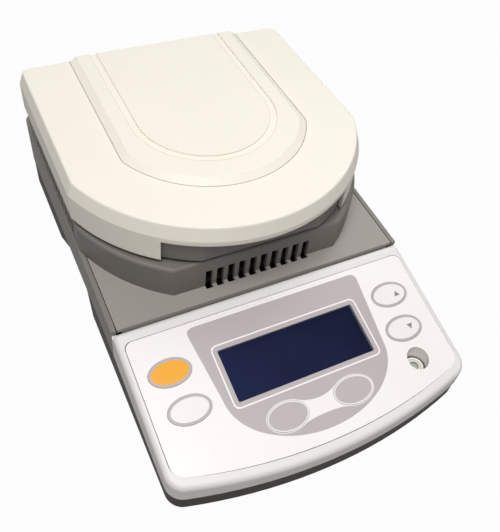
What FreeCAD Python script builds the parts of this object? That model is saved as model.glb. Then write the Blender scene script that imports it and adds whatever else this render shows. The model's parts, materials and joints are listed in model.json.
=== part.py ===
import FreeCAD
import Part

import math
import os

from FreeCAD import Vector

# A bench moisture balance: a weighing pan in a small oven, closed by a hinged lid that holds the lamps.
# The origin is the middle of the footprint on the bench. +X is to the operator's right,
# -Y is the front with the keys and the display, +Z is up. All lengths are in millimetres.

# Case
BODY_W = 205.0
PANEL_D = 109.6            # control panel, from the front of the case to the seam
DECK_STRIP = 11.8          # deck seen between the seam and the vented ring
OVEN_TO_REAR = 100.0       # middle of the oven to the back of the case
FRONT_R = 351.0            # plan radius of the bulging front
FRONT_CORNER_R = 12.0
REAR_CORNER_R = 9.0
TRAY_Z = 5.0               # underside of the tray above the bench
WALL = 3.0                 # case walls
SEAM_Z = 55.1              # height of the line between the deck and the control panel
DECK_TILT = 2.85
PANEL_TILT = 13.36
TRAY_REAR_Z = 29.2         # parting line of tray and frame, behind
TRAY_FRONT_Z = 18.5        # and in front
PART_SLOPE_FRONT = 33.0    # the line slopes from here, behind the front of the case,
PART_SLOPE_REAR = 107.0    # to here
TRAY_INSET = 0.4
TRAY_FLOOR = 3.0
SEAM_GAP = 0.7             # shadow gap round the deck cover and the panel
COVER_T = 2.5              # deck cover and panel plate
LEDGE_W = 3.0
LEDGE_T = 2.0

# Grip scallops in the sides of the tray, for lifting
GRIP_REAR = 73.0           # lower corners, in front of the back of the case
GRIP_FRONT = 158.0
GRIP_TOP_REAR = 111.0      # and upper corners
GRIP_TOP_FRONT = 148.0
GRIP_DEPTH = 15.0
GRIP_TOP_DROP = 0.6        # below the parting line

# Oven chamber and pan
BORE_R = 57.0              # round well through the vented ring
RING_INSET = 1.1           # sides of the ring inside the case's sides
RING_BULGE = 6.2           # radius of its front beyond its half width
RING_ARC_SHIFT = 6.0       # centre of that arc in front of the oven's middle
RING_FLAT = 17.0           # depth of the flat cut off the front of the arc
RING_REAR_GAP = 18.5       # back of the ring to the back of the case
RING_TOP_Z = 79.5
RING_WALL = 2.6
RING_EDGE_R = 2.0
SLOT_COUNT = 10
SLOT_PITCH = 7.7
SLOT_W = 4.7
SLOT_H = 14.0              # above the deck
SLOT_FOOT = 2.5            # slots run on into the deck in front of the ring
SIDE_SLOT_COUNT = 12
SIDE_SLOT_FIRST = 29.0     # first side slot in front of the oven's middle
FIT_GAP = 0.3              # between pieces that only sit near each other
LINER_T = 0.8
LINER_FLOOR_Z = 63.0
LINER_FLANGE_W = 3.5
STEM_HOLE_R = 5.0
SHIELD_IN = 4.0            # draught shield inside the well
SHIELD_T = 1.0
SHIELD_H = 11.0
STEM_R = 3.0
STEM_FOOT_Z = 40.5
SUPPORT_Z = 68.0
SUPPORT_ARM_IN = 9.0       # tips of the arms inside the rim of the pan
SUPPORT_ARM_W = 5.0
SUPPORT_T = 1.5
PAN_IN = 12.0              # rim of the pan inside the well
PAN_H = 7.0
PAN_T = 0.5
PAN_RIM = 2.0
WEIGH_TRAVEL = 0.3

# Lid
LID_BULGE = 6.1            # radius of the lid's front beyond its half width
LID_REAR_GAP = 8.3         # back of the lid to the back of the case
LID_BOTTOM_Z = 82.2
LID_H = 28.6
LID_BAND_H = 8.9           # steep band round the top
LID_EDGE_R = 1.6
LID_RIDGE_R = 1.2
LID_CHAMFER_W = 3.3
LID_CORNER_R = 6.0
LID_REAR_R = 8.0
LID_WALL = 2.5
LIP_R = 2.0
LIP_H = 15.0               # underside of the finger lip above the lid's lower edge
GRIP_HALF_W = 63.3
RAISED_R = 70.5
RAISED_HALF_W = 65.1
RAISED_H = 3.0
RAISED_SLOPE_W = 5.0
RAISED_CORNER_R = 12.0
GROOVE_R = 50.4
GROOVE_W = 4.6
GROOVE_DEPTH = 0.8
UNDER_GAP = 0.4            # between the lid shell and the housing under it
UNDER_FORWARD = 1.0        # front of that housing before the ring's front
UNDER_BOTTOM_Z = 82.5
UNDER_DROP = 11.3          # top of that housing under the lid's top
UNDER_WALL = 2.2
UNDER_CORNER_R = 6.0
WINDOW_IN = 3.0            # round heat window in the lid, inside the well
GLASS_T = 3.0
GLASS_SEAT = 2.5            # glass beyond the edge of the window
PROBE_R = 0.9
PROBE_LEN = 30.0
REFLECTOR_T = 0.8
REFLECTOR_IN = 1.0
REFLECTOR_DROP = 7.3       # roof of the reflector under the lid's top
LAMP_DROP = 14.8
LAMP_R = 5.0
LAMP_PITCH = 36.0
LAMP_END = 18.0            # ends of the lamps inside the reflector
LAMP_CAP_LEN = 5.0
HOLDER_T = 5.0

# Hinge
HINGE_INSET = 4.2          # hinge line in front of the lid's back
HINGE_Z = 86.0
KNUCKLE_R = 3.5
PIN_R = 1.5
PIN_RUNNING_GAP = 0.05
HINGE_X = 62.0
KNUCKLE_W = 12.0
EAR_W = 4.0
EAR_GAP = 0.3
NOTCH_TOP_Z = 91.0
BUFFER_R = 4.0
BUFFER_X = 78.0
BUFFER_FORWARD = 51.0

# Control panel, in panel coordinates: u to the right, v up the slope from the seam
EDGE_R = 3.6               # rounded edge of the white panel
OVERLAY_SIDE = 4.4
OVERLAY_TOP_V = -9.2
OVERLAY_FRONT = 6.4
OVERLAY_T = 0.5
OVERLAY_GAP = 0.4
OVERLAY_SUNK = 0.3
OVERLAY_REAR_R = 5.0
OVERLAY_FRONT_R = 10.0
DISPLAY_W = 94.8
DISPLAY_H = 33.6
DISPLAY_V = -49.0
DISPLAY_CORNER_R = 1.0
LENS_T = 1.5
MODULE_MARGIN = 6.0
MODULE_T = 9.0
KEY_A = 13.3               # half length of an oval key
KEY_B = 8.65
KEY_GAP = 0.25
KEY_PROUD = 0.2            # above the overlay
KEY_FLANGE = 1.0
KEY_FLANGE_T = 0.6
KEY_TRAVEL = 0.4
BOARD_POST_SIDE = 10.5
BOARD_POST_ROWS = (-15.0, -78.0)
BOARD_POST_MIDDLE = (-12.0, -90.0)
BOARD_POST_R = 2.5
MAIN_BOARD_W = 120.0
MAIN_BOARD_H = 62.0
DOME_R = 4.0
DOME_T = 0.4
DOME_SLACK = 0.1           # left between key and dome when a key is down
BOARD_T = 1.6
LEVEL_SIDE = 30.0          # level in from the side of the case
LEVEL_V = -80.8
LEVEL_R = 7.4
LEVEL_DEPTH = 9.0
LEVEL_WALL = 1.6
VIAL_R = 6.9
VIAL_H = 8.0
VIAL_WALL = 1.0
BUBBLE_R = 2.2

# Feet
FOOT_SIDE = 18.5           # feet in from the sides, the front and the back
FOOT_FRONT = 35.0
FOOT_REAR = 41.0
FRONT_FOOT_R = 8.0
WHEEL_R = 14.0
WHEEL_T = 6.0
WHEEL_FLUTES = 16
PAD_R = 9.0
PAD_T = 2.0
SCREW_R = 3.0
SCREW_TOP_Z = 20.0
WHEEL_POCKET_GAP = 1.5

# Rear connectors
REAR_WINDOW_W = 150.0
REAR_WINDOW_Z0 = 34.5
REAR_WINDOW_Z1 = 59.5
REAR_PLATE_T = 1.5
REAR_RECESS = 5.0
REAR_MID_Z = 47.0
INLET_X = -55.0
INLET_W = 27.0
INLET_H = 20.0
INLET_DEPTH = 18.0
INLET_WALL = 2.0
PIN_FREE = 3.0             # inlet pins stop this far inside the mouth
PIN_T = 2.0
PIN_H = 4.0
PIN_PITCH = 7.0
FLANGE_T = 2.0
FLANGE_EDGE = 1.7
SOCKET_WALL = 1.5
SWITCH_X = -18.0
SWITCH_W = 19.0
SWITCH_H = 13.0
SWITCH_DEPTH = 14.0
SWITCH_WELL = 6.0
ROCKER_PIVOT = 2.0         # behind the outer face
ROCKER_PIN_R = 1.0
ROCKER_PIN_LEN = 0.8
ROCKER_TILT = 8.0
ROCKER_GAP = 0.3
FUSE_X = 12.0
FUSE_R = 6.2
FUSE_DEPTH = 20.0
PORT_X = 55.0
PORT_W = 17.0
PORT_H = 8.4
PORT_DEPTH = 8.0
PORT_PROUD = 3.5
PORT_EAR = 6.5             # flange beyond the shell, each side
PORT_SCREW_X = 12.5
PORT_SCREW_R = 2.2
PORT_PIN_PITCH = 2.77

# Weighing cell and electrics inside the case
CELL_W = 20.0
CELL_H = 20.0
CELL_L = 96.0
CELL_Z = 14.0
CELL_FRONT = 13.0          # free end in front of the oven's middle
CELL_HOLE_R = 6.5
CELL_FOOT_L = 24.0
BOSS_R = 5.5
BOSS_SIDE = 8.0            # case screws in from the sides, the back and the front
BOSS_REAR = 17.0
BOSS_FRONT = 67.0
HEATER_BOARD_W = 46.0
HEATER_BOARD_D = 52.0
HEATER_BOARD_REAR = 23.0
CELL_CLEAR = 8.0           # board to the side of the weighing cell
HEATER_BOARD_Z = 14.0
POST_INSET = 4.0
SINK_H = 18.0
SINK_FINS = 6
SINK_PITCH = 5.6
FIN_T = 2.0
CORE_CLEAR = 16.0          # mains transformer to the side of the weighing cell
CORE_FRONT = 15.0
CORE_L = 46.0
CORE_D = 40.0
CORE_H = 38.0
CORE_LIMB = 8.0
COIL_H = 36.0
CASE_SCREW_R = 1.5
CASE_HEAD_R = 3.0

# What follows from the sizes above
HALF_W = BODY_W / 2
RING_HALF_W = HALF_W - RING_INSET
RING_R = RING_HALF_W + RING_BULGE
OVEN_SETBACK = RING_ARC_SHIFT + RING_R - RING_FLAT
BODY_D = PANEL_D + DECK_STRIP + OVEN_SETBACK + OVEN_TO_REAR
REAR_Y = BODY_D / 2
FRONT_Y = -BODY_D / 2
SEAM_Y = FRONT_Y + PANEL_D
PART_SLOPE_FRONT_Y = FRONT_Y + PART_SLOPE_FRONT
PART_SLOPE_REAR_Y = FRONT_Y + PART_SLOPE_REAR
OVEN_Y = REAR_Y - OVEN_TO_REAR
RING_FRONT_Y = SEAM_Y + DECK_STRIP
RING_ARC_Y = OVEN_Y - RING_ARC_SHIFT
RING_REAR_Y = REAR_Y - RING_REAR_GAP
LID_HALF_W = HALF_W
LID_R = LID_HALF_W + LID_BULGE
LID_REAR_Y = REAR_Y - LID_REAR_GAP
LID_TOP_Z = LID_BOTTOM_Z + LID_H
LID_RIDGE_Z = LID_TOP_Z - LID_BAND_H
LIP_Z = LID_BOTTOM_Z + LIP_H
RAISED_REAR_Y = LID_REAR_Y - LID_CHAMFER_W
UNDER_TOP_Z = LID_TOP_Z - UNDER_DROP
LINER_FLANGE_R = BORE_R + LINER_FLANGE_W
SHIELD_R = BORE_R - SHIELD_IN
PAN_R = BORE_R - PAN_IN
SUPPORT_ARM_R = PAN_R - SUPPORT_ARM_IN
WINDOW_R = BORE_R - WINDOW_IN
REFLECTOR_R = WINDOW_R - REFLECTOR_IN
REFLECTOR_ROOF_Z = LID_TOP_Z - REFLECTOR_DROP
LAMP_Z = LID_TOP_Z - LAMP_DROP
LAMP_LEN = 2 * (REFLECTOR_R - LAMP_END)
UNDER_FRONT_Y = RING_FRONT_Y - UNDER_FORWARD
HINGE_Y = LID_REAR_Y - HINGE_INSET
BUFFER_Y = OVEN_Y - BUFFER_FORWARD
LEVEL_U = HALF_W - LEVEL_SIDE
FOOT_X = HALF_W - FOOT_SIDE
BOSS_X = HALF_W - BOSS_SIDE
CELL_FRONT_Y = OVEN_Y - CELL_FRONT
HEATER_BOARD_X1 = -CELL_W / 2 - CELL_CLEAR
HEATER_BOARD_X0 = HEATER_BOARD_X1 - HEATER_BOARD_W
HEATER_BOARD_Y1 = REAR_Y - HEATER_BOARD_REAR
HEATER_BOARD_Y0 = HEATER_BOARD_Y1 - HEATER_BOARD_D
CORE_X0 = CELL_W / 2 + CORE_CLEAR
CORE_Y0 = OVEN_Y - CORE_FRONT
KEYS = {
    "key_start": (-HALF_W + 23.9, -34.9),
    "key_select": (-HALF_W + 26.7, -59.5),
    "key_up": (HALF_W - 25.7, -34.8),
    "key_down": (HALF_W - 28.4, -59.4),
    "key_back": (-23.4, -83.8),
    "key_enter": (21.8, -83.8),
}
FAR = 400.0

nodes = {}


def box(x0, x1, y0, y1, z0, z1):
    return Part.makeBox(x1 - x0, y1 - y0, z1 - z0, Vector(x0, y0, z0))


def cylinder(x, y, r, z0, z1):
    return Part.makeCylinder(r, z1 - z0, Vector(x, y, z0))


def rod_x(x0, x1, y, z, r):
    return Part.makeCylinder(r, x1 - x0, Vector(x0, y, z), Vector(1, 0, 0))


def rod_y(x, y0, y1, z, r):
    return Part.makeCylinder(r, y1 - y0, Vector(x, y0, z), Vector(0, 1, 0))


def one(shape):
    """The single solid of a boolean result, or the compound when there are several."""
    shape = shape.removeSplitter()
    return shape.Solids[0] if len(shape.Solids) == 1 else shape


def fuse(first, *rest):
    return one(first.multiFuse(list(rest)))


def round_upright_edges(solid, places, radius):
    """Fillet the upright edges of a prism that stand at the given plan points."""
    chosen = []
    for edge in solid.Edges:
        a, b = edge.Vertexes[0].Point, edge.Vertexes[-1].Point
        if abs(a.z - b.z) < 1e-6 or math.hypot(a.x - b.x, a.y - b.y) > 1e-6:
            continue
        if any(math.hypot(a.x - x, a.y - y) < 0.01 for x, y in places):
            chosen.append(edge)
    return solid.makeFillet(radius, chosen)


def d_prism(half_w, rear_y, arc_y, arc_r, z0, z1, front_r, rear_r):
    """A prism with a straight back, straight sides and a round front, its corners rounded."""
    side_y = arc_y - math.sqrt(arc_r ** 2 - half_w ** 2)
    corners = [Vector(half_w, side_y, z0), Vector(half_w, rear_y, z0),
               Vector(-half_w, rear_y, z0), Vector(-half_w, side_y, z0)]
    edges = [Part.LineSegment(a, b).toShape() for a, b in zip(corners, corners[1:])]
    edges.append(Part.Arc(corners[3], Vector(0, arc_y - arc_r, z0), corners[0]).toShape())
    solid = Part.Face(Part.Wire(edges)).extrude(Vector(0, 0, z1 - z0))
    if front_r > 0:
        solid = round_upright_edges(solid, [(half_w, side_y), (-half_w, side_y)], front_r)
    if rear_r > 0:
        solid = round_upright_edges(solid, [(half_w, rear_y), (-half_w, rear_y)], rear_r)
    return solid


def case_prism(inset, z0, z1):
    """The plan outline of the case, moved inwards by inset."""
    return d_prism(HALF_W - inset, REAR_Y - inset, FRONT_Y + FRONT_R, FRONT_R - inset, z0, z1,
                   max(FRONT_CORNER_R - inset, 1.0), max(REAR_CORNER_R - inset, 1.0))


def side_profile(points):
    """A slab across the whole width whose side view is the given outline of (y, z) points."""
    ring = [Vector(-FAR / 2, y, z) for y, z in points]
    return Part.Face(Part.makePolygon(ring + ring[:1])).extrude(Vector(FAR, 0, 0))


def deck_z(y):
    return SEAM_Z + math.tan(math.radians(DECK_TILT)) * (y - SEAM_Y)


def panel_z(y):
    return SEAM_Z + math.tan(math.radians(PANEL_TILT)) * (y - SEAM_Y)


def below_top(drop_deck, drop_panel):
    """Everything below the deck and panel surfaces, each lowered by its own amount."""
    return side_profile([(-FAR, -FAR), (FAR, -FAR), (FAR, deck_z(FAR) - drop_deck),
                         (SEAM_Y, SEAM_Z - drop_deck), (SEAM_Y, SEAM_Z - drop_panel),
                         (-FAR, panel_z(-FAR) - drop_panel)])


def below_parting(drop=0.0):
    """Everything below the parting line of tray and frame."""
    return side_profile([(-FAR, -FAR), (FAR, -FAR), (FAR, TRAY_REAR_Z - drop),
                         (PART_SLOPE_REAR_Y, TRAY_REAR_Z - drop),
                         (PART_SLOPE_FRONT_Y, TRAY_FRONT_Z - drop), (-FAR, TRAY_FRONT_Z - drop)])


def on_panel(shape):
    """Move a shape drawn in panel coordinates (u, v, height) onto the panel."""
    placed = shape.copy()
    placed.Placement = FreeCAD.Placement(Vector(0, SEAM_Y, SEAM_Z),
                                         FreeCAD.Rotation(Vector(1, 0, 0), PANEL_TILT))
    return placed


def oval(u, v, a, b, t0, t1):
    """An upright oval disc in panel coordinates."""
    edge = Part.Ellipse(Vector(u, v, t0), a, b).toShape()
    return Part.Face(Part.Wire([edge])).extrude(Vector(0, 0, t1 - t0))


def rounded_box(x0, x1, y0, y1, z0, z1, radius):
    solid = box(x0, x1, y0, y1, z0, z1)
    return round_upright_edges(solid, [(x0, y0), (x0, y1), (x1, y0), (x1, y1)], radius)


def level_point():
    """Plan position and surface height of the bubble level's hole."""
    tilt = math.radians(PANEL_TILT)
    return (LEVEL_U, SEAM_Y + LEVEL_V * math.cos(tilt), SEAM_Z + LEVEL_V * math.sin(tilt))


def case_screw_places():
    return [(sx * BOSS_X, y) for sx in (-1, 1) for y in (FRONT_Y + BOSS_FRONT, REAR_Y - BOSS_REAR)]


def foot_places(y):
    return [(-FOOT_X, y), (FOOT_X, y)]


def grip_cutters():
    """The lifting scallops, one in each side of the tray."""
    top = TRAY_REAR_Z - GRIP_TOP_DROP
    outline = [(REAR_Y - GRIP_REAR, TRAY_Z - 1), (REAR_Y - GRIP_TOP_REAR, top),
               (REAR_Y - GRIP_TOP_FRONT, top), (REAR_Y - GRIP_FRONT, TRAY_Z - 1)]
    cutters = []
    for x0 in (-HALF_W - 1, HALF_W + 1 - GRIP_DEPTH):
        ring = [Vector(x0, y, z) for y, z in outline]
        cutter = Part.Face(Part.makePolygon(ring + ring[:1])).extrude(Vector(GRIP_DEPTH, 0, 0))
        upper = [e for e in cutter.Edges
                 if abs(e.Vertexes[0].Point.x - e.Vertexes[-1].Point.x) > 1 and e.Vertexes[0].Point.z > top - 1]
        cutters.append(cutter.makeFillet(7.0, upper))
    return cutters


def build_tray():
    outer = case_prism(TRAY_INSET, TRAY_Z, TRAY_REAR_Z + 1)
    bottom_edges = [e for e in outer.Edges if e.BoundBox.ZMax < TRAY_Z + 0.01]
    outer = outer.makeFillet(1.5, bottom_edges).common(below_parting())
    hollow = case_prism(TRAY_INSET + WALL, TRAY_Z + TRAY_FLOOR, TRAY_REAR_Z + 2)
    tray = outer.cut(hollow)
    # a wall follows each scallop on the inside, so the tray stays closed there
    for cutter, sx in zip(grip_cutters(), (-1, 1)):
        x0 = -HALF_W + TRAY_INSET if sx < 0 else HALF_W - TRAY_INSET - GRIP_DEPTH - WALL
        backing = box(x0, x0 + GRIP_DEPTH + WALL, REAR_Y - GRIP_FRONT - WALL, REAR_Y - GRIP_REAR + WALL,
                      TRAY_Z, TRAY_REAR_Z - FIT_GAP)
        tray = tray.fuse(backing.common(outer)).cut(cutter)
    # bosses and pockets of the levelling feet
    for x, y in foot_places(REAR_Y - FOOT_REAR):
        pocket_top = TRAY_Z + WHEEL_T + WHEEL_POCKET_GAP
        tray = tray.fuse(cylinder(x, y, WHEEL_R + WHEEL_POCKET_GAP + WALL, TRAY_Z, pocket_top + WALL)
                         .common(outer))
        tray = tray.fuse(cylinder(x, y, SCREW_R + WALL, pocket_top, SCREW_TOP_Z + 2))
        tray = tray.cut(cylinder(x, y, WHEEL_R + WHEEL_POCKET_GAP, TRAY_Z - 1, pocket_top))
        tray = tray.cut(cylinder(x, y, SCREW_R + PIN_RUNNING_GAP, TRAY_Z, SCREW_TOP_Z + 3))
    # posts that carry the boards and the transformer
    for x, y in board_post_places():
        tray = tray.fuse(cylinder(x, y, 3.0, TRAY_Z + 1, HEATER_BOARD_Z))
    for x, y in case_screw_places():
        tray = tray.cut(cylinder(x, y, CASE_SCREW_R + 0.2, TRAY_Z - 1, TRAY_Z + TRAY_FLOOR + 1))
        tray = tray.cut(cylinder(x, y, CASE_HEAD_R + 0.3, TRAY_Z - 1, TRAY_Z + 1.2))
    nodes["base_tray"] = one(tray)


def build_frame():
    wall = case_prism(0, TRAY_FRONT_Z - 1, deck_z(REAR_Y) + 1)
    wall = wall.cut(case_prism(WALL, TRAY_FRONT_Z - 2, deck_z(REAR_Y) + 2))
    wall = wall.common(below_top(0, EDGE_R + FIT_GAP)).cut(below_parting())
    # ledge on which the deck cover rests
    ledge = case_prism(WALL - 0.5, SEAM_Z - 12, deck_z(REAR_Y))
    ledge = ledge.cut(case_prism(WALL + LEDGE_W, SEAM_Z - 13, deck_z(REAR_Y) + 1))
    ledge = ledge.common(below_top(COVER_T, COVER_T)).cut(below_top(COVER_T + LEDGE_T, COVER_T + LEDGE_T))
    ledge = ledge.common(box(-HALF_W, HALF_W, SEAM_Y + 4, REAR_Y, 0, FAR))
    frame = fuse(wall, ledge)
    for x, y in case_screw_places():
        top = min(deck_z(y), panel_z(y)) - COVER_T - 8
        boss = cylinder(x, y, BOSS_R, TRAY_Z + TRAY_FLOOR, top).common(case_prism(WALL - 0.5, 0, FAR))
        boss = boss.common(case_prism(TRAY_INSET + WALL + 0.2, 0, TRAY_REAR_Z).fuse(
            case_prism(WALL - 0.5, TRAY_REAR_Z, FAR)))
        frame = frame.fuse(boss).cut(cylinder(x, y, CASE_SCREW_R, TRAY_Z, top - 4))
    # window in the back for the connector plate
    frame = frame.cut(rounded_slab_y(REAR_WINDOW_W, REAR_WINDOW_Z0, REAR_WINDOW_Z1,
                                     REAR_Y - WALL - 1, REAR_Y + 1, 3.0))
    nodes["side_frame"] = one(frame)


def rounded_slab_y(width, z0, z1, y0, y1, radius, x=0.0):
    """A plate across the back with rounded corners in its front view."""
    solid = box(x - width / 2, x + width / 2, y0, y1, z0, z1)
    edges = [e for e in solid.Edges if abs(e.BoundBox.YLength - (y1 - y0)) < 1e-6]
    return solid.makeFillet(radius, edges)


def build_deck():
    cover = case_prism(WALL + SEAM_GAP, SEAM_Z - 10, deck_z(REAR_Y) + 5)
    cover = cover.common(below_top(0, 0)).cut(below_top(COVER_T, COVER_T))
    cover = cover.common(box(-HALF_W, HALF_W, SEAM_Y + SEAM_GAP / 2, REAR_Y, 0, FAR))
    # the front of the cover turns down behind the control panel
    apron = box(-HALF_W + WALL + SEAM_GAP + LEDGE_W, HALF_W - WALL - SEAM_GAP - LEDGE_W,
                SEAM_Y + SEAM_GAP / 2, SEAM_Y + SEAM_GAP / 2 + COVER_T, SEAM_Z - 14, SEAM_Z - COVER_T / 2)
    cover = cover.fuse(apron).cut(cylinder(0, OVEN_Y, BORE_R + FIT_GAP, 0, FAR))
    cover = cover.cut(Part.makeCompound(front_slots()))
    nodes["deck_cover"] = one(cover)


def ring_prism(inset, z0, z1):
    """The vented ring's outline: round front cut off flat."""
    prism = d_prism(RING_HALF_W - inset, RING_REAR_Y - inset, RING_ARC_Y, RING_R - inset, z0, z1, 2.0, 3.0)
    return prism.common(box(-FAR, FAR, RING_FRONT_Y + inset, FAR, z0, z1))


def front_slots():
    """Cutters for the upright slots, through the foot of the ring and on into the deck."""
    cutters = []
    for i in range(SLOT_COUNT):
        x = (i - (SLOT_COUNT - 1) / 2) * SLOT_PITCH
        cutters.append(box(x - SLOT_W / 2, x + SLOT_W / 2, RING_FRONT_Y - SLOT_FOOT, RING_FRONT_Y + RING_WALL + 1,
                           SEAM_Z - 5, deck_z(RING_FRONT_Y) + SLOT_H))
    return cutters


def build_ring():
    low = SEAM_Z
    outer = ring_prism(0, low, RING_TOP_Z)
    top_edges = [e for e in outer.Edges if e.BoundBox.ZMin > RING_TOP_Z - 0.01]
    outer = outer.makeFillet(RING_EDGE_R, top_edges)
    hollow = ring_prism(RING_WALL, low - 1, RING_TOP_Z - RING_WALL)
    tube = cylinder(0, OVEN_Y, BORE_R + RING_WALL, low, RING_TOP_Z - RING_WALL / 2)
    ring = outer.cut(hollow).fuse(tube)
    ring = ring.cut(below_top(0, 0)).cut(cylinder(0, OVEN_Y, BORE_R, 0, FAR))
    cutters = front_slots()
    for i in range(SIDE_SLOT_COUNT):
        y = OVEN_Y - SIDE_SLOT_FIRST + i * SLOT_PITCH
        floor_z = deck_z(y) + 2.5
        for sx in (-1, 1):
            x = sx * RING_HALF_W
            cutters.append(box(x - RING_WALL - 1, x + RING_WALL + 1, y - SLOT_W / 2, y + SLOT_W / 2,
                               floor_z, RING_TOP_Z - 2 * RING_WALL))
    nodes["vent_ring"] = one(ring.cut(Part.makeCompound(cutters)))


def build_oven():
    # spun liner: flange on the ring, straight wall, flat floor with a hole for the stem
    r = BORE_R - FIT_GAP
    top = RING_TOP_Z + LINER_T
    z0 = LINER_FLOOR_Z
    section = [(STEM_HOLE_R, z0), (r, z0), (r, RING_TOP_Z), (LINER_FLANGE_R, RING_TOP_Z),
               (LINER_FLANGE_R, top), (r - LINER_T, top), (r - LINER_T, z0 + LINER_T),
               (STEM_HOLE_R, z0 + LINER_T)]
    nodes["oven_liner"] = revolve(section)
    floor = z0 + LINER_T
    nodes["draft_shield"] = revolve([(SHIELD_R - SHIELD_T, floor), (SHIELD_R, floor),
                                     (SHIELD_R, floor + SHIELD_H), (SHIELD_R - SHIELD_T, floor + SHIELD_H)])
    # pan support: a stem with three arms and turned-up tips
    support = cylinder(0, OVEN_Y, STEM_R, STEM_FOOT_Z, SUPPORT_Z)
    for i in range(3):
        arm = box(0, SUPPORT_ARM_R, -SUPPORT_ARM_W / 2, SUPPORT_ARM_W / 2, SUPPORT_Z - SUPPORT_T, SUPPORT_Z)
        arm.rotate(Vector(0, 0, 0), Vector(0, 0, 1), 90 + i * 120)
        arm.translate(Vector(0, OVEN_Y, 0))
        support = support.fuse(arm)
    hub = cylinder(0, OVEN_Y, STEM_R * 2.5, SUPPORT_Z - SUPPORT_T, SUPPORT_Z)
    nodes["pan_support"] = fuse(support, hub)
    # drawn sample pan with a rolled rim
    base = SUPPORT_Z
    rim = base + PAN_H
    nodes["sample_pan"] = revolve([(0, base), (PAN_R - 1.5, base), (PAN_R, rim - PAN_T),
                                   (PAN_R + PAN_RIM, rim - PAN_T), (PAN_R + PAN_RIM, rim),
                                   (PAN_R - PAN_T, rim), (PAN_R - 1.5 - PAN_T, base + PAN_T),
                                   (0, base + PAN_T)])


def revolve(section, y=OVEN_Y):
    """Turn a closed outline of (radius, z) points about the oven's upright axis."""
    ring = [Vector(r, y, z) for r, z in section]
    face = Part.Face(Part.makePolygon(ring + ring[:1]))
    return face.revolve(Vector(0, y, 0), Vector(0, 0, 1), 360)


def lid_prism(inset, z0, z1):
    return d_prism(LID_HALF_W - inset, LID_REAR_Y - inset, OVEN_Y, LID_R - inset, z0, z1,
                   max(LID_CORNER_R - inset, 1.0), max(LID_REAR_R - inset, 1.0))


def raised_prism(inset, z0, z1):
    return d_prism(RAISED_HALF_W - inset, REAR_Y, OVEN_Y, RAISED_R - inset, z0, z1, RAISED_CORNER_R - inset, 0)


def groove_prism(inset, z0, z1):
    return d_prism(GROOVE_R - 0.1 - inset, REAR_Y, OVEN_Y, GROOVE_R - inset, z0, z1, 0, 0)


def level_edges(solid, z):
    """The edges that lie flat at one height."""
    return [e for e in solid.Edges if abs(e.BoundBox.ZMin - z) < 0.01 and e.BoundBox.ZLength < 0.02]


def tapered(prism, inset0, z0, inset1, z1):
    """A solid between two outlines of the same prism, the upper one moved in."""
    wires = []
    for inset, z in ((inset0, z0), (inset1, z1)):
        thin = prism(inset, z, z + 1)
        wires.append([f for f in thin.Faces if f.BoundBox.ZMax < z + 0.01][0].OuterWire)
    return Part.makeLoft(wires, True, True)


def lid_form(inset):
    """The lid's outer form, or its hollow when inset: upright skirt, then a steep band up to the top."""
    start = LID_BOTTOM_Z - (1 if inset else 0)
    skirt = lid_prism(inset, start, LID_RIDGE_Z)
    band = tapered(lid_prism, inset, LID_RIDGE_Z, inset + LID_CHAMFER_W, LID_TOP_Z - inset)
    return fuse(skirt, band)


def hinge_notch(extra):
    """Room for the hinge ears in the back of the lid, at both hinges."""
    reach = KNUCKLE_W / 2 + EAR_GAP + EAR_W + extra
    return Part.makeCompound([box(sx * HINGE_X - reach, sx * HINGE_X + reach, HINGE_Y - KNUCKLE_R - 1.5,
                                  LID_REAR_Y + 1, LID_BOTTOM_Z - 1, NOTCH_TOP_Z) for sx in (-1, 1)])


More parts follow.
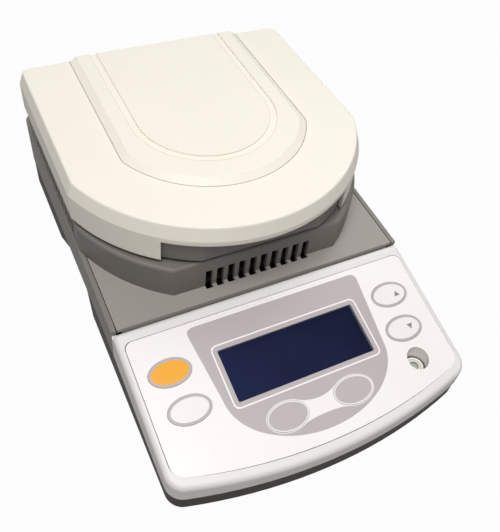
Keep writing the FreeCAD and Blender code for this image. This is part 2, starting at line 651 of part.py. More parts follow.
def build_lid():
    shell = lid_form(0)
    for z, radius in ((LID_TOP_Z, LID_EDGE_R), (LID_RIDGE_Z, LID_RIDGE_R), (LID_BOTTOM_Z, LID_RIDGE_R)):
        shell = shell.makeFillet(radius, level_edges(shell, z))
    # the skirt is cut away in front for the fingers, which leaves a rounded lip
    shell = shell.cut(box(-GRIP_HALF_W, GRIP_HALF_W, FRONT_Y, OVEN_Y - LID_R / 2, LID_BOTTOM_Z - 1, LIP_Z))
    lip = [e for e in level_edges(shell, LIP_Z) if e.BoundBox.YMin < OVEN_Y - LID_R + 1]
    shell = shell.makeFillet(LIP_R, lip)
    # the raised panel runs out at the back of the lid
    raised = tapered(raised_prism, 0, LID_TOP_Z, RAISED_SLOPE_W, LID_TOP_Z + RAISED_H)
    raised = raised.fuse(raised_prism(0, LID_TOP_Z - LID_EDGE_R, LID_TOP_Z))
    raised = raised.common(box(-FAR, FAR, FRONT_Y, RAISED_REAR_Y, 0, FAR))
    shell = fuse(shell, raised)
    groove = groove_prism(0, LID_TOP_Z + RAISED_H - GROOVE_DEPTH, LID_TOP_Z + RAISED_H + 1)
    groove = groove.cut(groove_prism(GROOVE_W, LID_TOP_Z, LID_TOP_Z + RAISED_H + 2))
    hollow = lid_form(LID_WALL)
    shell = shell.cut(hollow).cut(groove)
    # a shelf closes the lip from below
    shelf = lid_prism(LID_WALL - 0.5, LIP_Z, LIP_Z + LID_WALL)
    shelf = shelf.common(box(-GRIP_HALF_W, GRIP_HALF_W, FRONT_Y, UNDER_FRONT_Y - UNDER_GAP, 0, FAR))
    nodes["lid_shell"] = one(shell.fuse(shelf).cut(hinge_notch(0.7)))

    gap = LID_WALL + UNDER_GAP
    under = lid_prism(gap, UNDER_BOTTOM_Z, UNDER_TOP_Z)
    front = box(-FAR, FAR, UNDER_FRONT_Y, FAR, 0, FAR)
    under = under.common(front)
    corner_x = math.sqrt((LID_R - gap) ** 2 - (OVEN_Y - UNDER_FRONT_Y) ** 2)
    under = round_upright_edges(under, [(corner_x, UNDER_FRONT_Y), (-corner_x, UNDER_FRONT_Y)], UNDER_CORNER_R)
    inner = lid_prism(gap + UNDER_WALL, UNDER_BOTTOM_Z + UNDER_WALL, UNDER_TOP_Z + 1)
    under = under.cut(inner.common(box(-FAR, FAR, UNDER_FRONT_Y + UNDER_WALL, FAR, 0, FAR)))
    under = under.cut(cylinder(0, OVEN_Y, WINDOW_R, 0, FAR)).cut(hinge_notch(0.7))
    for sx in (-1, 1):
        x0 = sx * HINGE_X - KNUCKLE_W / 2
        x1 = x0 + KNUCKLE_W
        arm = box(x0, x1, HINGE_Y - KNUCKLE_R - 6, HINGE_Y, UNDER_BOTTOM_Z, HINGE_Z + KNUCKLE_R / 2)
        under = fuse(under, arm, rod_x(x0, x1, HINGE_Y, HINGE_Z, KNUCKLE_R))
        under = under.cut(rod_x(x0 - 1, x1 + 1, HINGE_Y, HINGE_Z, PIN_R + PIN_RUNNING_GAP))
    # the temperature probe sits in a hole in the edge of the window
    probe_z = UNDER_BOTTOM_Z + UNDER_WALL / 2
    probe_y = OVEN_Y - WINDOW_R - PROBE_LEN / 4
    under = under.cut(rod_y(0, probe_y, OVEN_Y, probe_z, PROBE_R + 0.02))
    nodes["temperature_probe"] = rod_y(0, probe_y, probe_y + PROBE_LEN, probe_z, PROBE_R)
    nodes["lid_housing"] = one(under)

    floor = UNDER_BOTTOM_Z + UNDER_WALL
    nodes["heat_window"] = cylinder(0, OVEN_Y, WINDOW_R + GLASS_SEAT, floor, floor + GLASS_T)
    seat = floor + GLASS_T
    roof = REFLECTOR_ROOF_Z
    nodes["lamp_reflector"] = revolve([
        (0, roof), (REFLECTOR_R - 3, roof), (REFLECTOR_R, seat + REFLECTOR_T),
        (REFLECTOR_R, seat), (WINDOW_R + GLASS_SEAT, seat), (WINDOW_R + GLASS_SEAT, seat + REFLECTOR_T),
        (REFLECTOR_R + REFLECTOR_T, seat + REFLECTOR_T), (REFLECTOR_R - 3 + REFLECTOR_T, roof + REFLECTOR_T),
        (0, roof + REFLECTOR_T)])
    lamps, caps, holders = [], [], []
    for sy in (-1, 1):
        y = OVEN_Y + sy * LAMP_PITCH / 2
        lamps.append(rod_x(-LAMP_LEN / 2, LAMP_LEN / 2, y, LAMP_Z, LAMP_R))
        for sx in (-1, 1):
            ends = sorted((sx * LAMP_LEN / 2, sx * (LAMP_LEN / 2 + LAMP_CAP_LEN)))
            cap = rod_x(ends[0], ends[1], y, LAMP_Z, LAMP_R - 1)
            socket = rod_x(ends[0] - PIN_RUNNING_GAP, ends[1] + PIN_RUNNING_GAP, y, LAMP_Z,
                           LAMP_R - 1 + PIN_RUNNING_GAP)
            caps.append(cap)
            h0 = sx * (LAMP_LEN / 2 + LAMP_CAP_LEN / 2)
            ends = sorted((h0, h0 + sx * HOLDER_T))
            block = box(ends[0], ends[1], y - LAMP_R, y + LAMP_R, LAMP_Z - LAMP_R, roof)
            holders.append(block.cut(socket))
    nodes["halogen_lamps"] = Part.makeCompound(lamps)
    nodes["lamp_caps"] = Part.makeCompound(caps)
    nodes["lamp_holders"] = Part.makeCompound(holders)


def build_hinge():
    brackets, pins = [], []
    for sx in (-1, 1):
        x = sx * HINGE_X
        inner = KNUCKLE_W / 2 + EAR_GAP
        reach = inner + EAR_W
        top = HINGE_Z - KNUCKLE_R - 1
        y0, y1 = HINGE_Y - KNUCKLE_R, HINGE_Y + KNUCKLE_R
        block = box(x - reach, x + reach, y0, y1, SEAM_Z, top).cut(below_top(0, 0))
        for x0 in (x - reach, x + inner):
            ear = box(x0, x0 + EAR_W, y0, y1, top, HINGE_Z).fuse(rod_x(x0, x0 + EAR_W, HINGE_Y, HINGE_Z, KNUCKLE_R))
            block = block.fuse(ear)
        brackets.append(one(block.cut(rod_x(x - FAR, x + FAR, HINGE_Y, HINGE_Z, PIN_R + 0.02))))
        pins.append(rod_x(x - reach, x + reach, HINGE_Y, HINGE_Z, PIN_R))
    nodes["hinge_brackets"] = Part.makeCompound(brackets)
    nodes["hinge_pins"] = Part.makeCompound(pins)
    nodes["lid_buffers"] = Part.makeCompound([
        cylinder(sx * BUFFER_X, BUFFER_Y, BUFFER_R, RING_TOP_Z, UNDER_BOTTOM_Z - FIT_GAP) for sx in (-1, 1)])


def overlay_prism(grow, t0, t1):
    """The overlay's outline in panel coordinates, its front edge parallel to the case."""
    tilt = math.radians(PANEL_TILT)
    half_w = HALF_W - OVERLAY_SIDE + grow
    front_v = (FRONT_Y + OVERLAY_FRONT - SEAM_Y) / math.cos(tilt)
    radius = FRONT_R - OVERLAY_FRONT
    side_v = front_v + radius - math.sqrt(radius ** 2 - half_w ** 2)
    rear_v = OVERLAY_TOP_V + grow
    corners = [Vector(half_w, side_v, t0), Vector(half_w, rear_v, t0),
               Vector(-half_w, rear_v, t0), Vector(-half_w, side_v, t0)]
    edges = [Part.LineSegment(a, b).toShape() for a, b in zip(corners, corners[1:])]
    edges.append(Part.Arc(corners[3], Vector(0, front_v - grow, t0), corners[0]).toShape())
    solid = Part.Face(Part.Wire(edges)).extrude(Vector(0, 0, t1 - t0))
    solid = round_upright_edges(solid, [(half_w, side_v), (-half_w, side_v)], OVERLAY_FRONT_R)
    return round_upright_edges(solid, [(half_w, rear_v), (-half_w, rear_v)], OVERLAY_REAR_R)


def display_box(grow, t0, t1, radius):
    return rounded_box(-DISPLAY_W / 2 - grow, DISPLAY_W / 2 + grow, DISPLAY_V - DISPLAY_H / 2 - grow,
                       DISPLAY_V + DISPLAY_H / 2 + grow, t0, t1, radius)


def panel_openings():
    """Cutters for the keys, the display and the level, through the overlay and the white panel."""
    x, y, z = level_point()
    cutters = [on_panel(oval(u, v, KEY_A + KEY_GAP, KEY_B + KEY_GAP, -COVER_T - 1, 2)) for u, v in KEYS.values()]
    cutters.append(on_panel(display_box(0.1, -COVER_T - 1, 2, DISPLAY_CORNER_R)))
    cutters.append(cylinder(x, y, LEVEL_R, z - LEVEL_DEPTH - VIAL_H, z + 4))
    return Part.makeCompound(cutters)


def board_post_points():
    """Places on the panel of the posts that carry the key board."""
    side = HALF_W - BOARD_POST_SIDE
    return [(sx * side, v) for sx in (-1, 1) for v in BOARD_POST_ROWS] + [(0, v) for v in BOARD_POST_MIDDLE]


def board_drop():
    """Depth of the key board's upper face under the panel's surface."""
    return COVER_T + FIT_GAP + KEY_FLANGE_T + KEY_TRAVEL + DOME_SLACK + DOME_T


def build_panel():
    top = EDGE_R + FIT_GAP
    panel = case_prism(0, TRAY_FRONT_Z, SEAM_Z + 1)
    panel = panel.common(box(-FAR, FAR, -FAR, SEAM_Y - SEAM_GAP / 2, 0, FAR))
    rear_y = SEAM_Y - SEAM_GAP / 2
    panel = round_upright_edges(panel, [(HALF_W, rear_y), (-HALF_W, rear_y)], 3.0)
    panel = panel.common(below_top(0, 0))
    rim = [e for e in panel.Edges
           if all(abs(v.Point.z - panel_z(v.Point.y)) < 0.01 for v in e.Vertexes) and e.Length > 0.5]
    panel = panel.makeFillet(EDGE_R, rim).cut(below_top(top, top))
    hollow = case_prism(WALL, 0, FAR).common(box(-FAR, FAR, -FAR, rear_y - COVER_T, 0, FAR))
    panel = panel.cut(hollow.common(below_top(COVER_T, COVER_T)))
    x, y, z = level_point()
    tube = cylinder(x, y, LEVEL_R + LEVEL_WALL, z - LEVEL_DEPTH - VIAL_H - LEVEL_WALL, z + 4)
    posts = [on_panel(Part.makeCylinder(BOARD_POST_R, 1.0 + board_drop() - COVER_T, Vector(u, v, -board_drop())))
             for u, v in board_post_points()]
    panel = fuse(panel, tube.common(below_top(1, 1)), *posts)
    panel = panel.cut(on_panel(overlay_prism(OVERLAY_GAP, -OVERLAY_SUNK, 3)))
    nodes["control_panel"] = one(panel.cut(panel_openings()))
    overlay = on_panel(overlay_prism(0, -OVERLAY_SUNK, OVERLAY_T - OVERLAY_SUNK))
    nodes["membrane_overlay"] = one(overlay.cut(panel_openings()))


def build_keys():
    surface = OVERLAY_T - OVERLAY_SUNK
    flange_top = -COVER_T - FIT_GAP
    key_bottom = flange_top - KEY_FLANGE_T
    board_top = -board_drop()
    domes = []
    for name, (u, v) in KEYS.items():
        cap = oval(u, v, KEY_A, KEY_B, key_bottom, surface + KEY_PROUD)
        flange = oval(u, v, KEY_A + KEY_FLANGE, KEY_B + KEY_FLANGE, key_bottom, flange_top)
        nodes[name] = on_panel(fuse(cap, flange))
        domes.append(on_panel(Part.makeCylinder(DOME_R, DOME_T, Vector(u, v, board_top))))
    nodes["key_domes"] = Part.makeCompound(domes)
    tilt = math.radians(PANEL_TILT)
    half_w = HALF_W - WALL - 2
    front_v = (FRONT_Y + WALL + 14 - SEAM_Y) / math.cos(tilt)
    board = rounded_box(-half_w, half_w, front_v, -8.0, board_top - BOARD_T, board_top, 3.0)
    board = board.cut(display_box(MODULE_MARGIN + 0.5, board_top - 5, board_top + 5, 1.0))
    x, y, z = level_point()
    board = on_panel(board).cut(cylinder(x, y, LEVEL_R + LEVEL_WALL + 0.6, z - 40, z + 4))
    nodes["key_board"] = one(board)
    # display: front lens, liquid crystal module behind it, main board below
    nodes["display_lens"] = on_panel(display_box(0, surface - LENS_T, surface, DISPLAY_CORNER_R))
    module_top = -COVER_T
    nodes["display_module"] = on_panel(display_box(MODULE_MARGIN, module_top - MODULE_T, module_top, 1.0))
    board_top = module_top - MODULE_T
    main = rounded_box(-MAIN_BOARD_W / 2, MAIN_BOARD_W / 2, DISPLAY_V - MAIN_BOARD_H / 2,
                       DISPLAY_V + MAIN_BOARD_H / 2, board_top - BOARD_T, board_top, 2.0)
    nodes["main_board"] = on_panel(main)
    body = Part.makeCylinder(VIAL_R, VIAL_H, Vector(x, y, z - LEVEL_DEPTH - VIAL_H))
    hollow = Part.makeCylinder(VIAL_R - VIAL_WALL, VIAL_H - 2 * VIAL_WALL,
                               Vector(x, y, z - LEVEL_DEPTH - VIAL_H + VIAL_WALL))
    nodes["level_vial"] = body.cut(hollow)
    nodes["level_bubble"] = cylinder(x + 0.5, y, BUBBLE_R, z - LEVEL_DEPTH - VIAL_WALL - 1.2,
                                     z - LEVEL_DEPTH - VIAL_WALL)


def build_feet():
    front = [cylinder(x, y, FRONT_FOOT_R, 0, TRAY_Z) for x, y in foot_places(FRONT_Y + FOOT_FRONT)]
    nodes["front_feet"] = Part.makeCompound(front)
    for side, (x, y) in zip(("left", "right"), foot_places(REAR_Y - FOOT_REAR)):
        wheel = cylinder(x, y, WHEEL_R, PAD_T, PAD_T + WHEEL_T)
        flutes = []
        for i in range(WHEEL_FLUTES):
            angle = 2 * math.pi * i / WHEEL_FLUTES
            flutes.append(cylinder(x + WHEEL_R * math.cos(angle), y + WHEEL_R * math.sin(angle), 1.3,
                                   PAD_T - 1, PAD_T + WHEEL_T + 1))
        wheel = wheel.cut(Part.makeCompound(flutes))
        nodes["levelling_wheel_" + side] = fuse(wheel, cylinder(x, y, SCREW_R, PAD_T, SCREW_TOP_Z))
        nodes["levelling_pad_" + side] = cylinder(x, y, PAD_R, 0, PAD_T)


def build_rear():
    y1 = REAR_Y - REAR_RECESS
    y0 = y1 - REAR_PLATE_T
    plate = rounded_slab_y(REAR_WINDOW_W + 8, REAR_WINDOW_Z0 - 4, REAR_WINDOW_Z1 + 1, y0, y1, 2.0)
    spacer = rounded_slab_y(REAR_WINDOW_W + 6, REAR_WINDOW_Z0 - 3, REAR_WINDOW_Z1 + 1, y1, REAR_Y - WALL, 2.0)
    spacer = spacer.cut(rounded_slab_y(REAR_WINDOW_W, REAR_WINDOW_Z0, REAR_WINDOW_Z1, y1 - 1, REAR_Y, 3.0))
    plate = plate.fuse(spacer)
    inlet = rounded_slab_y(INLET_W, REAR_MID_Z - INLET_H / 2, REAR_MID_Z + INLET_H / 2,
                           y1 - INLET_DEPTH, y1, INLET_WALL, INLET_X)
    inlet = inlet.fuse(flange(INLET_X, INLET_W, INLET_H, y1))
    cavity = rounded_slab_y(INLET_W - 2 * SOCKET_WALL, REAR_MID_Z - INLET_H / 2 + SOCKET_WALL,
                            REAR_MID_Z + INLET_H / 2 - SOCKET_WALL, y1 - INLET_DEPTH + INLET_WALL, REAR_Y, 3.0, INLET_X)
    nodes["power_inlet"] = one(inlet.cut(cavity))
    pins = []
    for dx, dz in ((-PIN_PITCH, -1.5), (0, 2.5), (PIN_PITCH, -1.5)):
        x, z = INLET_X + dx, REAR_MID_Z + dz
        pins.append(box(x - PIN_T / 2, x + PIN_T / 2, y1 - INLET_DEPTH + INLET_WALL, y1 - PIN_FREE,
                        z - PIN_H / 2, z + PIN_H / 2))
    nodes["inlet_pins"] = Part.makeCompound(pins)
    # rocker switch, at rest on its lower half
    housing = rounded_slab_y(SWITCH_W, REAR_MID_Z - SWITCH_H / 2, REAR_MID_Z + SWITCH_H / 2,
                             y1 - SWITCH_DEPTH, y1, 0.5, SWITCH_X).fuse(flange(SWITCH_X, SWITCH_W, SWITCH_H, y1))
    well = rounded_slab_y(SWITCH_W - 2 * SOCKET_WALL, REAR_MID_Z - SWITCH_H / 2 + SOCKET_WALL,
                          REAR_MID_Z + SWITCH_H / 2 - SOCKET_WALL, y1 - SWITCH_WELL, REAR_Y, 0.3, SWITCH_X)
    socket_end = SWITCH_W / 2 - SOCKET_WALL + ROCKER_PIN_LEN + ROCKER_GAP
    sockets = rod_x(SWITCH_X - socket_end, SWITCH_X + socket_end, y1 - ROCKER_PIVOT, REAR_MID_Z,
                    ROCKER_PIN_R + PIN_RUNNING_GAP)
    nodes["switch_housing"] = one(housing.cut(well).cut(sockets))
    nodes["switch_rocker"] = rocker(y1)
    fuse_body = rod_y(FUSE_X, y1 - FUSE_DEPTH, y1, REAR_MID_Z, FUSE_R)
    fuse_head = rod_y(FUSE_X, y1, y1 + FLANGE_T, REAR_MID_Z, FUSE_R + FLANGE_EDGE)
    slot = box(FUSE_X - 4, FUSE_X + 4, y1 + FLANGE_T - 1, REAR_Y, REAR_MID_Z - 0.6, REAR_MID_Z + 0.6)
    nodes["fuse_holder"] = one(fuse_body.fuse(fuse_head).cut(slot))
    port = rounded_slab_y(PORT_W, REAR_MID_Z - PORT_H / 2, REAR_MID_Z + PORT_H / 2,
                          y1 - PORT_DEPTH, y1 + PORT_PROUD, 2.0, PORT_X)
    port_flange = rounded_slab_y(PORT_W + 2 * PORT_EAR, REAR_MID_Z - PORT_H / 2 - 2, REAR_MID_Z + PORT_H / 2 + 2,
                                 y1, y1 + 1, 1.0, PORT_X)
    port = port.fuse(port_flange)
    for row, z in ((5, REAR_MID_Z + 1.4), (4, REAR_MID_Z - 1.4)):
        for i in range(row):
            port = port.cut(rod_y(PORT_X + (i - (row - 1) / 2) * PORT_PIN_PITCH, y1 - 2, REAR_Y, z, 0.55))
    nodes["serial_port"] = one(port)
    nodes["port_screws"] = Part.makeCompound([
        rod_y(PORT_X + sx * PORT_SCREW_X, y1 + 1, y1 + 3.8, REAR_MID_Z, PORT_SCREW_R) for sx in (-1, 1)])
    cutters = [nodes["power_inlet"].BoundBox, nodes["switch_housing"].BoundBox]
    for b in cutters:
        plate = plate.cut(box(b.XMin + FLANGE_EDGE - 0.05, b.XMax - FLANGE_EDGE + 0.05, y0 - 1, y1 + 0.01,
                              b.ZMin + FLANGE_EDGE - 0.05, b.ZMax - FLANGE_EDGE + 0.05))
    plate = plate.cut(rod_y(FUSE_X, y0 - 1, y1 + 0.01, REAR_MID_Z, FUSE_R + 0.05))
    plate = plate.cut(box(PORT_X - PORT_W / 2 - 0.05, PORT_X + PORT_W / 2 + 0.05, y0 - 1, y1 + 0.01,
                          REAR_MID_Z - PORT_H / 2 - 0.05, REAR_MID_Z + PORT_H / 2 + 0.05))
    nodes["connector_plate"] = one(plate)


def flange(x, width, height, y):
    return rounded_slab_y(width + 2 * FLANGE_EDGE, REAR_MID_Z - height / 2 - FLANGE_EDGE,
                          REAR_MID_Z + height / 2 + FLANGE_EDGE, y, y + FLANGE_T, 1.0, x)


def rocker(y1):
    """A shallow V of two paddles on a cross pin, tipped to its off side."""
    half_w = SWITCH_W / 2 - SOCKET_WALL - ROCKER_GAP
    half_h = SWITCH_H / 2 - SOCKET_WALL - ROCKER_GAP
    pivot_y = y1 - ROCKER_PIVOT
    rise = math.tan(math.radians(ROCKER_TILT)) * half_h
    ring = [Vector(0, -2.0, -half_h + 0.8), Vector(0, 3.2 + rise, -half_h + 0.3), Vector(0, 3.2, 0),
            Vector(0, 3.2 + rise, half_h - 0.3), Vector(0, -2.0, half_h - 0.8)]
    body = Part.Face(Part.makePolygon(ring + ring[:1])).extrude(Vector(2 * half_w, 0, 0))
    body.translate(Vector(-half_w, 0, 0))
    body.rotate(Vector(0, 0, 0), Vector(1, 0, 0), ROCKER_TILT)
    body.translate(Vector(SWITCH_X, pivot_y, REAR_MID_Z))
    pin_end = SWITCH_W / 2 - SOCKET_WALL + ROCKER_PIN_LEN
    return fuse(body, rod_x(SWITCH_X - pin_end, SWITCH_X + pin_end, pivot_y, REAR_MID_Z, ROCKER_PIN_R))


def build_inside():
    # single-point weighing cell: a block with a double hole through its middle
    cell = box(-CELL_W / 2, CELL_W / 2, CELL_FRONT_Y, CELL_FRONT_Y + CELL_L, CELL_Z, CELL_Z + CELL_H)
    mid_y, mid_z = CELL_FRONT_Y + CELL_L / 2, CELL_Z + CELL_H / 2
    for dy in (-14.0, 14.0):
        cell = cell.cut(rod_x(-CELL_W, CELL_W, mid_y + dy, mid_z, CELL_HOLE_R))
    cell = cell.cut(box(-CELL_W, CELL_W, mid_y - 14, mid_y + 14, mid_z - 3, mid_z + 3))
    nodes["weighing_cell"] = one(cell)
    rear = CELL_FRONT_Y + CELL_L
    nodes["cell_foot"] = box(-CELL_W / 2 - 6, CELL_W / 2 + 6, rear - CELL_FOOT_L, rear, TRAY_Z + TRAY_FLOOR, CELL_Z)
    nodes["cell_adapter"] = cylinder(0, OVEN_Y, 8.0, CELL_Z + CELL_H, STEM_FOOT_Z - WEIGH_TRAVEL - 0.1)
    # mains transformer: a laminated core with a coil on each side of its middle limb
    z0 = TRAY_Z + TRAY_FLOOR
    x0, x1, y0, y1 = CORE_X0, CORE_X0 + CORE_L, CORE_Y0, CORE_Y0 + CORE_D
    mid = (x0 + x1) / 2
    core = box(x0, x1, y0, y1, z0, z0 + CORE_H)
    windows = [(x0 + CORE_LIMB, mid - CORE_LIMB), (mid + CORE_LIMB, x1 - CORE_LIMB)]
    coils = []
    for a, b in windows:
        core = core.cut(box(a, b, y0 + CORE_LIMB, y1 - CORE_LIMB, z0 - 1, z0 + CORE_H + 1))
        coils.append(rounded_box(a + 0.05, b - 0.05, y0 + CORE_LIMB + 0.05, y1 - CORE_LIMB - 0.05,
                                 z0, z0 + COIL_H, 2.0))
    nodes["transformer_core"] = core
    nodes["transformer_coils"] = Part.makeCompound(coils)
    nodes["heater_board"] = box(HEATER_BOARD_X0, HEATER_BOARD_X1, HEATER_BOARD_Y0, HEATER_BOARD_Y1,
                                HEATER_BOARD_Z, HEATER_BOARD_Z + BOARD_T)
    x0, y0, z0 = HEATER_BOARD_X0 + 8, HEATER_BOARD_Y0 + 12, HEATER_BOARD_Z + BOARD_T
    y1 = HEATER_BOARD_Y1 - 12
    sink = box(x0, x0 + (SINK_FINS - 1) * SINK_PITCH + FIN_T, y0, y1, z0, z0 + FIN_T)
    for i in range(SINK_FINS):
        x = x0 + i * SINK_PITCH
        sink = sink.fuse(box(x, x + FIN_T, y0, y1, z0, z0 + SINK_H))
    nodes["heat_sink"] = one(sink)
    screws = []
    for x, y in case_screw_places():
        head = cylinder(x, y, CASE_HEAD_R, TRAY_Z, TRAY_Z + 1.2)
        screws.append(fuse(head, cylinder(x, y, CASE_SCREW_R - 0.02, TRAY_Z, TRAY_Z + TRAY_FLOOR + 12)))
    nodes["case_screws"] = Part.makeCompound(screws)


def board_post_places():
    return [(x, y) for x in (HEATER_BOARD_X0 + POST_INSET, HEATER_BOARD_X1 - POST_INSET)
            for y in (HEATER_BOARD_Y0 + POST_INSET, HEATER_BOARD_Y1 - POST_INSET)]

build_tray()
build_frame()
build_deck()
build_ring()
build_oven()
build_lid()
build_hinge()
build_panel()
build_keys()
build_feet()
build_rear()
build_inside()

os.makedirs("parts", exist_ok=True)
for name, shape in nodes.items():
    shape.exportStep("parts/" + name + ".step")
    print(name, len(shape.Solids), round(shape.Volume), shape.isValid())
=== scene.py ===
# %% [markdown]
# # Bench moisture balance
# A sample is weighed on a pan inside a small oven, under a hinged lid that holds halogen lamps. The solids
# of every rigid piece are loaded first, as a fixed frame. This notebook gives them their finishes and adds
# the printed and very thin things that a solid model leaves out.

import json
import math

import bpy
from mathutils import Matrix, Vector


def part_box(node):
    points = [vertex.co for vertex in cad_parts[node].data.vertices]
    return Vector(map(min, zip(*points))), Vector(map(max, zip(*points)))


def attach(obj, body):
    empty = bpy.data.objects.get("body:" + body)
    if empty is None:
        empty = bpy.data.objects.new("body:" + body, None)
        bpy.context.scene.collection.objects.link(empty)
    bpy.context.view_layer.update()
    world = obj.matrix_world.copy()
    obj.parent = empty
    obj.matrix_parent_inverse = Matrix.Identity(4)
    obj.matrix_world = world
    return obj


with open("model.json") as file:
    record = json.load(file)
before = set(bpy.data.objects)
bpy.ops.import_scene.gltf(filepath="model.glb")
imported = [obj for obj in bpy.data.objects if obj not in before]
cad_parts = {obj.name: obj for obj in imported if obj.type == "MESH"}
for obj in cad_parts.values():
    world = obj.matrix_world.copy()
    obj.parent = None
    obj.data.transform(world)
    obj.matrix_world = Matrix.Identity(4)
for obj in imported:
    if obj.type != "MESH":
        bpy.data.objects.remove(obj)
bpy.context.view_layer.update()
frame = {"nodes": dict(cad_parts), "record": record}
MM = 0.001

# %% [markdown]
# ## The camera
# The photograph was taken from the front left and from well above, with the camera leaning a little to one
# side. Position, direction and focal length were worked out together from straight edges whose lengths are
# in proportion. A camera's matrix has its right, up and backward directions as columns, which is clearer
# to write than three rotation angles that are applied in some order.

# %% Place the camera
CAMERA_AT = Vector((-150.10, -269.46, 376.62)) * MM
YAW, PITCH, ROLL = (math.radians(a) for a in (31.88, -49.05, 7.95))
FOCAL_MM = 46.55

forward = Vector((math.sin(YAW) * math.cos(PITCH), math.cos(YAW) * math.cos(PITCH), math.sin(PITCH)))
level_right = Vector((math.cos(YAW), -math.sin(YAW), 0))
level_up = level_right.cross(forward)
right = math.cos(ROLL) * level_right + math.sin(ROLL) * level_up
up = math.cos(ROLL) * level_up - math.sin(ROLL) * level_right

camera_data = bpy.data.cameras.new("camera")
camera_data.sensor_fit = "HORIZONTAL"
camera_data.sensor_width = 36
camera_data.lens = FOCAL_MM
camera_data.clip_start = 0.01
camera = bpy.data.objects.new("camera", camera_data)
camera.matrix_world = Matrix.Translation(CAMERA_AT) @ Matrix((right, up, -forward)).transposed().to_4x4()
bpy.context.scene.collection.objects.link(camera)
bpy.context.scene.camera = camera
bpy.context.scene.view_settings.view_transform = "Standard"
print("camera looks along", [round(c, 3) for c in forward])

# %% [markdown]
# ## Shader maths
# A finish is a small sum: a base value plus fine grain plus slow unevenness. Wiring that by hand takes many
# Math nodes, so one class wraps a socket and lets Python's operators add them. Everything else that a
# finish needs is one node made by `node`, which takes the node's type, its settings and its inputs.


# %% A socket that can be added and multiplied
class Sock:
    def __init__(self, tree, socket=None):
        self.tree = tree
        self.socket = socket

    def node(self, kind, settings=(), inputs=(), output=0):
        made = self.tree.nodes.new("ShaderNode" + kind)
        for name, value in dict(settings).items():
            if name == "stops":
                ramp = made.color_ramp.elements
                while len(ramp) < len(value):
                    ramp.new(0.5)
                for stop, (place, colour) in zip(ramp, value):
                    stop.position = place
                    stop.color = tuple(colour) + (1,)
            else:
                setattr(made, name, value)
        for name, value in dict(inputs).items():
            if isinstance(value, Sock):
                self.tree.links.new(value.socket, made.inputs[name])
            else:
                made.inputs[name].default_value = value
        return Sock(self.tree, made.outputs[output])

    def maths(self, operation, first, second=0.0):
        return self.node("Math", {"operation": operation}, {0: first, 1: second})

    def __add__(self, other):
        return self.maths("ADD", self, other)

    def __sub__(self, other):
        return self.maths("SUBTRACT", self, other)

    def __rsub__(self, other):
        return self.maths("SUBTRACT", other, self)

    def __mul__(self, other):
        return self.maths("MULTIPLY", self, other)

    def __gt__(self, other):
        return self.maths("GREATER_THAN", self, other)

    def __lt__(self, other):
        return self.maths("LESS_THAN", self, other)

    __radd__ = __add__
    __rmul__ = __mul__


# %% A new surface, its place on the object in millimetres, and its noise
def new_surface(name, **constants):
    """A material with a Principled shader; constants are set on the shader's own sockets."""
    material = bpy.data.materials.new(name)
    material.use_nodes = True
    tree = material.node_tree
    shader = next(n for n in tree.nodes if n.type == "BSDF_PRINCIPLED")
    for socket, value in constants.items():
        shader.inputs[socket.replace("_", " ")].default_value = value
    return material, Sock(tree), shader


def place_mm(graph):
    position = graph.node("TexCoord", output="Object")
    return position.node("VectorMath", {"operation": "SCALE"}, {0: position, "Scale": 1 / MM})


def noise(place, size_mm, detail=2.0):
    """Noise of about 0 to 1 with lumps of the given size."""
    return place.node("TexNoise", {}, {"Vector": place, "Scale": 1 / size_mm, "Detail": detail})


def between(factor, dark, light):
    """A colour from dark to light as factor goes from 0.3 to 0.7, where noise has most of its values."""
    return factor.node("ValToRGB", {"stops": [(0.3, dark), (0.7, light)]}, {0: factor})


def connect(graph, shader, **links):
    for socket, value in links.items():
        graph.tree.links.new(value.socket, shader.inputs[socket.replace("_", " ")])


def linear(red, green, blue):
    """Screen colour values of 0 to 255 as the linear colour that a shader takes."""
    def one(value):
        value /= 255
        return value / 12.92 if value < 0.04045 else ((value + 0.055) / 1.055) ** 2.4
    return (one(red), one(green), one(blue))


print("shader helpers ready; mid grey 128 is", round(linear(128, 0, 0)[0], 3), "linear")

# %% [markdown]
# ## Moulded plastic
# Instrument cases are sprayed or moulded with a fine matt texture. Close up it is a bump of a few tenths of
# a millimetre; from a distance it only spreads the highlights, so roughness matters more than colour. The
# colour itself drifts by a few percent over a hand's width. One function makes every such finish.


# %% Moulded plastic in the case's colours
def moulded(name, colour, roughness, grain_mm=0.35, depth_mm=0.02, drift=0.03):
    material, graph, shader = new_surface(name, IOR=1.46)
    place = place_mm(graph)
    slow = noise(place, 60, 3)
    fine = noise(place, grain_mm, 2)
    dark = [c * (1 - drift) for c in colour]
    light = [min(c * (1 + drift), 1) for c in colour]
    bump = graph.node("Bump", {}, {"Height": fine, "Strength": 0.5, "Distance": depth_mm * MM})
    connect(graph, shader, Base_Color=between(slow * 0.7 + fine * 0.3, dark, light),
            Roughness=slow * 0.08 + fine * 0.06 + (roughness - 0.07), Normal=bump)
    return material


def two_tone(name, colour, other, where, roughness):
    """One moulding in two colours; where(x, y, z) in millimetres is 1 in the parts with the other colour."""
    material = moulded(name, colour, roughness)
    tree = material.node_tree
    graph = Sock(tree)
    shader = next(n for n in tree.nodes if n.type == "BSDF_PRINCIPLED")
    place = place_mm(graph)
    axes = [place.node("SeparateXYZ", {}, {0: place}, axis) for axis in range(3)]
    first = Sock(tree, shader.inputs["Base Color"].links[0].from_socket)
    second = between(noise(place, 60, 3), [c * 0.98 for c in other], [min(c * 1.02, 1) for c in other])
    mixed = graph.node("Mix", {"data_type": "RGBA"}, {0: where(*axes), 6: first, 7: second}, 2)
    connect(graph, shader, Base_Color=mixed)
    return material


